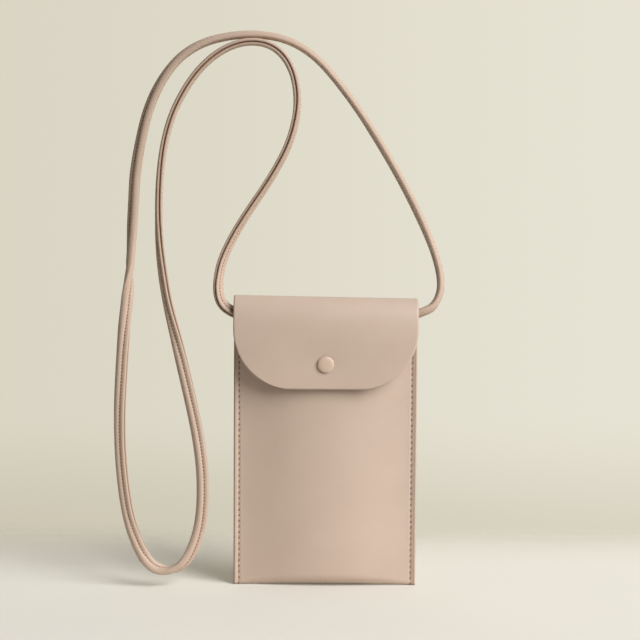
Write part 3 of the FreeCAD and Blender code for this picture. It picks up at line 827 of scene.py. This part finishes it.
def sew(name, places, length, width, height, material):
    """A row of stitches from (middle, direction of the thread, direction out of the leather) triples."""
    points = [middle for middle, along, out in places]
    turns = []
    for middle, along, out in places:
        beside = out.cross(along).normalized()
        along = beside.cross(out).normalized()
        turns.append(Matrix((along, beside, out.normalized())).transposed().to_euler())
    piece = new_piece(name, points, [], [])
    turn = piece.data.attributes.new("turn", "FLOAT_VECTOR", "POINT")
    turn.data.foreach_set("vector", [angle for euler in turns for angle in euler])
    sewing = piece.modifiers.new("sewing", "NODES")
    sewing.node_group = stitches
    given = {"Stitch length": length * MM, "Thread width": width * MM, "Thread height": height * MM}
    given["Thread"] = material
    for socket in stitches.interface.items_tree:
        if socket.name in given:
            sewing[socket.identifier] = given[socket.name]
    made = bpy.data.meshes.new_from_object(piece.evaluated_get(bpy.context.evaluated_depsgraph_get()))
    piece.modifiers.remove(sewing)
    piece.data = made
    made.name = name
    return piece


def seam_places(shift):
    """Stitches of both side seams on the front and the back, or the needle holes between them."""
    places = []
    for side, depth_at in ((FRONT, front_depth), (BACK, back_depth)):
        out = Vector((0, side, 0))
        along = Vector((math.sin(STITCH_SLANT) * -side, 0, math.cos(STITCH_SLANT)))
        for x in (-STITCH_X, STITCH_X):
            for z in needle_heights():
                middle = z + shift
                if middle > MOUTH_HEIGHT - STITCH_PITCH:
                    continue
                depth = depth_at(x, middle) - CHANNEL_DEPTH
                places.append((place(x, side * depth - flare(x, middle), middle), along, out))
    return places


def make_seam_stitches():
    """The threads of both side seams."""
    return sew("seam_stitches", seam_places(STITCH_PITCH / 2), STITCH_LENGTH, THREAD, THREAD_HEIGHT, thread)


def make_needle_holes():
    """The needle's cuts between those threads, as dark beads of painted shadow."""
    return sew("needle_hole_shadows", seam_places(0), *NEEDLE_SLIT, needle_hole_shadow)


def make_tail_stitches():
    """Stitches that hold the strap's two flat ends, on the back and inside the pouch."""
    places = []
    first = TAIL_FIRST - STITCH_PITCH / 2
    outwards = Vector((0, 1, 0))
    for edge in (-1, 1):
        inward = Vector((-edge * math.cos(TAIL_SLOPE), 0, -math.sin(TAIL_SLOPE)))
        across = Vector((-edge * math.sin(TAIL_SLOPE), 0, math.cos(TAIL_SLOPE)))
        start = Vector((edge * TAIL_X, 0, TAIL_Z))
        for row in (-TAIL_ROW, TAIL_ROW):
            for i in range(TAIL_STITCHES):
                spot = start + inward * (first + STITCH_PITCH * i) + across * row
                inside = spot + inward * STITCH_PITCH
                places.append((place(spot.x, LEATHER + TAIL_PROUD, spot.z), inward, outwards))
                places.append((place(inside.x, -TAIL_THICKNESS - TAIL_PROUD, inside.z), inward, -outwards))
    return sew("tail_stitches", places, STITCH_LENGTH, THREAD, THREAD_HEIGHT, thread)


# Strap

def strap_line():
    """Points along the strap's smooth line, in metres."""
    curve = bpy.data.curves.new("strap_line", "CURVE")
    curve.dimensions = "3D"
    curve.resolution_u = STRAP_STEPS
    spline = curve.splines.new("NURBS")
    spline.points.add(len(STRAP_ROUTE) - 1)
    for knot, (x, y, z, turn) in zip(spline.points, STRAP_ROUTE):
        knot.co = (x, y + SEAM_Y * MM, z, 1)
    spline.order_u = 3
    spline.use_endpoint_u = True
    holder = bpy.data.objects.new("strap_line", curve)
    mesh = bpy.data.meshes.new_from_object(holder)
    line = [vertex.co.copy() for vertex in mesh.vertices]
    bpy.data.meshes.remove(mesh)
    bpy.data.objects.remove(holder)
    bpy.data.curves.remove(curve)
    return line


def strap_frames(line):
    """At each point of the line: its run, the way the open edges face, and the way out of the flat side."""
    frames = []
    turns = [turn for x, y, z, turn in STRAP_ROUTE]
    last = len(line) - 1
    front = Vector((0, -1, 0))
    for i in range(len(line)):
        run = (line[min(i + 1, last)] - line[max(i - 1, 0)]).normalized()
        right = run.cross(front).normalized()
        near = right.cross(run)
        at = i / last * (len(turns) - 1)
        before = min(int(at), len(turns) - 2)
        share = smooth(at - before, 0, 1)
        turn = math.radians(turns[before] * (1 - share) + turns[before + 1] * share)
        lip = right * math.cos(turn) + near * math.sin(turn)
        frames.append((run, lip, run.cross(lip)))
    return frames


def make_strap(line, frames):
    """The doubled strap, swept along its line."""
    outline = STRAP_OUTLINE + [(u, -v) for u, v in reversed(STRAP_OUTLINE[:-1])]
    shades = STRAP_SHADE + STRAP_SHADE[-2::-1]
    count = len(outline)
    points = []
    faces = []
    for i, (middle, (run, lip, out)) in enumerate(zip(line, frames)):
        points += [middle + (lip * u + out * v) * MM for u, v in outline]
        if i:
            for j in range(count):
                ahead = (j + 1) % count
                faces.append(((i - 1) * count + j, (i - 1) * count + ahead, i * count + ahead, i * count + j))
    faces.append(tuple(range(count)))
    faces.append(tuple(range(len(points) - 1, len(points) - count - 1, -1)))
    piece = new_piece("strap_leather", points, faces, [strap_leather])
    # painted shade in the strap's slit and sewn groove
    give_shade(piece, shades * len(line))
    tidy_mesh(piece)
    return piece


def strap_seam_places(line, frames, first):
    """Places in the sewn grooves on both sides of the strap, one pitch apart."""
    places = []
    across, away = STRAP_SEAM
    due = first
    for here, ahead, (run, lip, out) in zip(line, line[1:], frames):
        step = (ahead - here).length / MM
        while due < step:
            spot = here.lerp(ahead, due / step)
            for side in (-1, 1):
                places.append((spot + (lip * across + out * side * away) * MM, run, out * side))
            due += STRAP_PITCH
        due -= step
    return places


def make_strap_stitches(line, frames):
    """Fine machine stitches beside the strap's open edges."""
    places = strap_seam_places(line, frames, STRAP_PITCH)
    return sew("strap_stitches", places, STRAP_STITCH, STRAP_THREAD, STRAP_THREAD, thread)


def make_strap_holes(line, frames):
    """The needle's holes between those stitches, as dark beads of painted shadow."""
    places = strap_seam_places(line, frames, STRAP_PITCH / 2)
    return sew("strap_needle_hole_shadows", places, *STRAP_HOLE, strap_hole_shadow)


# Stage

def make_camera():
    """Camera in front of the pouch, looking slightly down."""
    camera = bpy.data.objects.new("camera", bpy.data.cameras.new("camera"))
    bpy.context.scene.collection.objects.link(camera)
    bpy.context.scene.camera = camera
    camera.data.lens = CAMERA_LENS
    camera.data.sensor_width = CAMERA_SENSOR
    look = Vector((0, math.cos(CAMERA_PITCH), -math.sin(CAMERA_PITCH)))
    level = Vector((1, 0, 0))
    upright = level.cross(look)
    right = level * math.cos(CAMERA_ROLL) + upright * math.sin(CAMERA_ROLL)
    up = right.cross(look)
    stand = place(*CAMERA_TARGET) - look * CAMERA_DISTANCE * MM
    camera.matrix_world = Matrix.Translation(stand) @ Matrix((right, up, -look)).transposed().to_4x4()


def make_floor():
    """Floor that gives way to the wall a little behind the pouch."""
    points = [(side * FLOOR_HALF_WIDTH, y, 0) for y in (FLOOR_FRONT, FLOOR_BACK) for side in (-1, 1)]
    new_piece("studio_floor", points, [(0, 1, 3, 2)], [backdrop_paper()])


def make_card():
    """Curved card that throws light on the back of the pouch and that the camera doesn't see."""
    profile = []
    for i in range(CARD_ROWS + 1):
        turn = math.pi / 2 * i / CARD_ROWS
        profile.append((CARD_START + CARD_RADIUS * math.sin(turn), CARD_RADIUS * (1 - math.cos(turn))))
    profile.append((CARD_START + CARD_RADIUS, CARD_TOP))
    points = [(side * FLOOR_HALF_WIDTH, y, z) for y, z in profile for side in (-1, 1)]
    faces = [(2 * i, 2 * i + 1, 2 * i + 3, 2 * i + 2) for i in range(len(profile) - 1)]
    card = new_piece("studio_card", points, faces, [bounce_card()])
    card.visible_camera = False


def soft_lamp(name, stand, size, power):
    """A round lamp that faces the pouch."""
    lamp = bpy.data.objects.new(name, bpy.data.lights.new(name, "AREA"))
    bpy.context.scene.collection.objects.link(lamp)
    lamp.data.shape = "DISK"
    lamp.data.size = size
    lamp.data.energy = power
    lamp.location = stand
    lamp.rotation_euler = (Vector(AIM) - Vector(stand)).to_track_quat("-Z", "Y").to_euler()


def make_light():
    """A large lamp at the front right and a weak one overhead."""
    soft_lamp("key_light", KEY_PLACE, KEY_SIZE, KEY_POWER)
    soft_lamp("top_light", TOP_PLACE, TOP_SIZE, TOP_POWER)


def make_room():
    """Dim room light, and the cream wall that the camera and shiny things see, with painted light on the
    lamp's side and painted shade at its foot.
    """
    world = bpy.data.worlds.new("studio")
    bpy.context.scene.world = world
    world.use_nodes = True
    tree = world.node_tree
    view = node(tree, "ShaderNodeTexCoord").outputs["Generated"]
    way = node(tree, "ShaderNodeSeparateXYZ", {"Vector": view}).outputs
    ramps = []
    for value, (start, end) in ((way["X"], WALL_SIDES), (way["Z"], WALL_FALL)):
        ramp = node(tree, "ShaderNodeMapRange", {"Value": value, "From Min": start, "From Max": end},
                    interpolation_type="SMOOTHSTEP")
        ramps.append(ramp.outputs["Result"])
    side, fall = ramps
    tones = {SHARE: side, FIRST: linear(WALL_SHADE), SECOND: linear(WALL_LIGHT)}
    across = node(tree, "ShaderNodeMix", tones, data_type="RGBA")
    tones = {SHARE: fall, FIRST: across.outputs[MIXED], SECOND: linear(WALL_FOOT_SHADE)}
    tone = node(tree, "ShaderNodeMix", tones, data_type="RGBA", blend_type="MULTIPLY")
    rays = node(tree, "ShaderNodeLightPath").outputs
    bent = {0: rays["Is Glossy Ray"], 1: rays["Is Transmission Ray"]}
    shiny = node(tree, "ShaderNodeMath", bent, operation="ADD")
    either = {0: rays["Is Camera Ray"], 1: shiny.outputs[0]}
    seen = node(tree, "ShaderNodeMath", either, operation="ADD", use_clamp=True)
    wall = node(tree, "ShaderNodeBackground", {"Color": tone.outputs[MIXED], "Strength": 1})
    dim = node(tree, "ShaderNodeBackground", {"Color": linear(SKY_TONE), "Strength": SKY_STRENGTH})
    room = node(tree, "ShaderNodeMixShader", {0: seen.outputs[0], 1: dim.outputs[0], 2: wall.outputs[0]})
    give(tree.nodes["World Output"].inputs["Surface"], room.outputs[0])


# Pieces, their bodies and the stage

bpy.context.scene.view_settings.view_transform = "Standard"
make_camera()
line = strap_line()
frames = strap_frames(line)
strap = make_strap(line, frames)
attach(strap, "pouch")
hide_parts("strap_cover", "strap_core")
strap_stitches = make_strap_stitches(line, frames)
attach(strap_stitches, "pouch")
strap_holes = make_strap_holes(line, frames)
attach(strap_holes, "pouch")

front = make_front()
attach(front, "pouch")
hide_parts("front_panel")

strip = make_back_and_flap()
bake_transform(strip)
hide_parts("back_panel", "top_fold", "flap")

cap = make_cap()
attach(cap, "flap")
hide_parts("snap_cap")

seam = make_seam_stitches()
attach(seam, "pouch")
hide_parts("left_seam_stitches", "right_seam_stitches")
holes = make_needle_holes()
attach(holes, "pouch")
tail_sewing = make_tail_stitches()
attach(tail_sewing, "pouch")
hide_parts("tail_stitches_left", "tail_stitches_right")

# The snap's inner parts and the strap's tails keep their solids and get these materials
for name, material in (("snap_socket", nickel), ("snap_stud", nickel), ("snap_post", nickel),
                       ("snap_spring", spring_steel), ("strap_tail_left", strap_leather),
                       ("strap_tail_right", strap_leather)):
    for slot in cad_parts[name].material_slots:
        slot.material = material

make_floor()
make_card()
make_light()
make_room()
